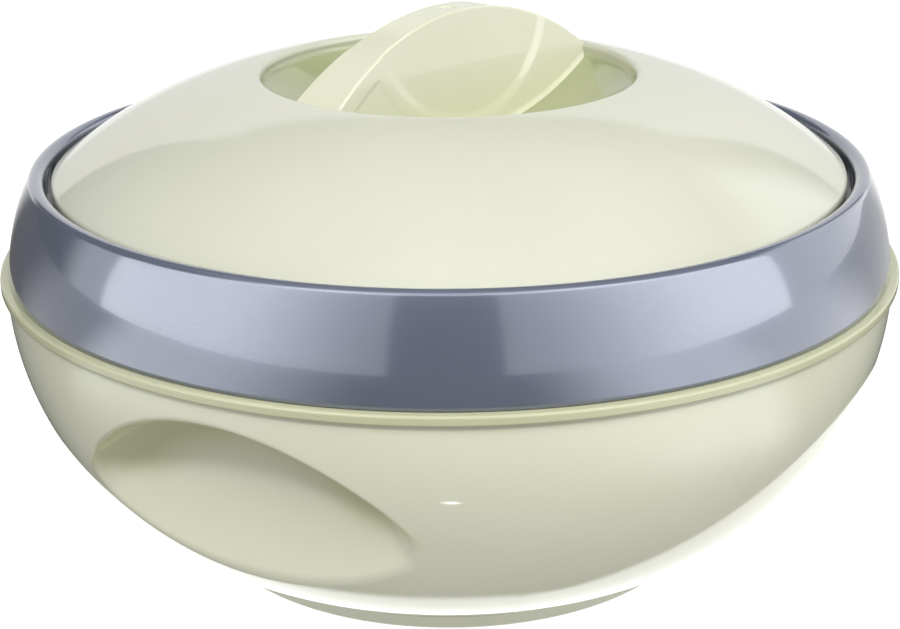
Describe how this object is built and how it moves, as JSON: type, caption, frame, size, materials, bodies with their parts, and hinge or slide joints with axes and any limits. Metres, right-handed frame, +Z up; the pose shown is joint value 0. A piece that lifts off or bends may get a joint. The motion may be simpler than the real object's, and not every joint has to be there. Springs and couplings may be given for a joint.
{
  "type": "insulated serving pot",
  "caption": "Round insulated serving pot with a steel liner, a collar, finger recesses in the bowl and a lift-off domed lid with a sunken dish and an arched grip fin.",
  "frame": {"origin": "on the table, under the middle of the foot ring", "axes": "+Z up along the pot's axis; the finger recesses face -Y and +Y"},
  "size_m": [0.3, 0.3, 0.1824],
  "materials": {
    "bowl_plastic": "moulded gloss, pale green",
    "lid_plastic": "moulded gloss, pale cream green",
    "collar_plastic": "moulded gloss, pearl blue grey",
    "liner_steel": "spun and polished",
    "seal_rubber": "matt silicone",
    "foam": "cut foam skin"
  },
  "bodies": {
    "pot": {"outer_bowl": "bowl_plastic", "base_plug": "bowl_plastic", "bowl_insulation": "foam", "inner_liner": "liner_steel", "liner_seal": "seal_rubber", "collar": "collar_plastic"},
    "lid": {"lid_shell": "lid_plastic", "lid_insulation": "foam", "lid_cover": "lid_plastic", "lid_seal": "seal_rubber", "lid_plug": "lid_plastic"}
  },
  "joints": [
    {"name": "lid_lift", "type": "slide", "parent": "pot", "child": "lid", "axis": [0, 0, 1], "range_m": [0, 0.15]}
  ]
}
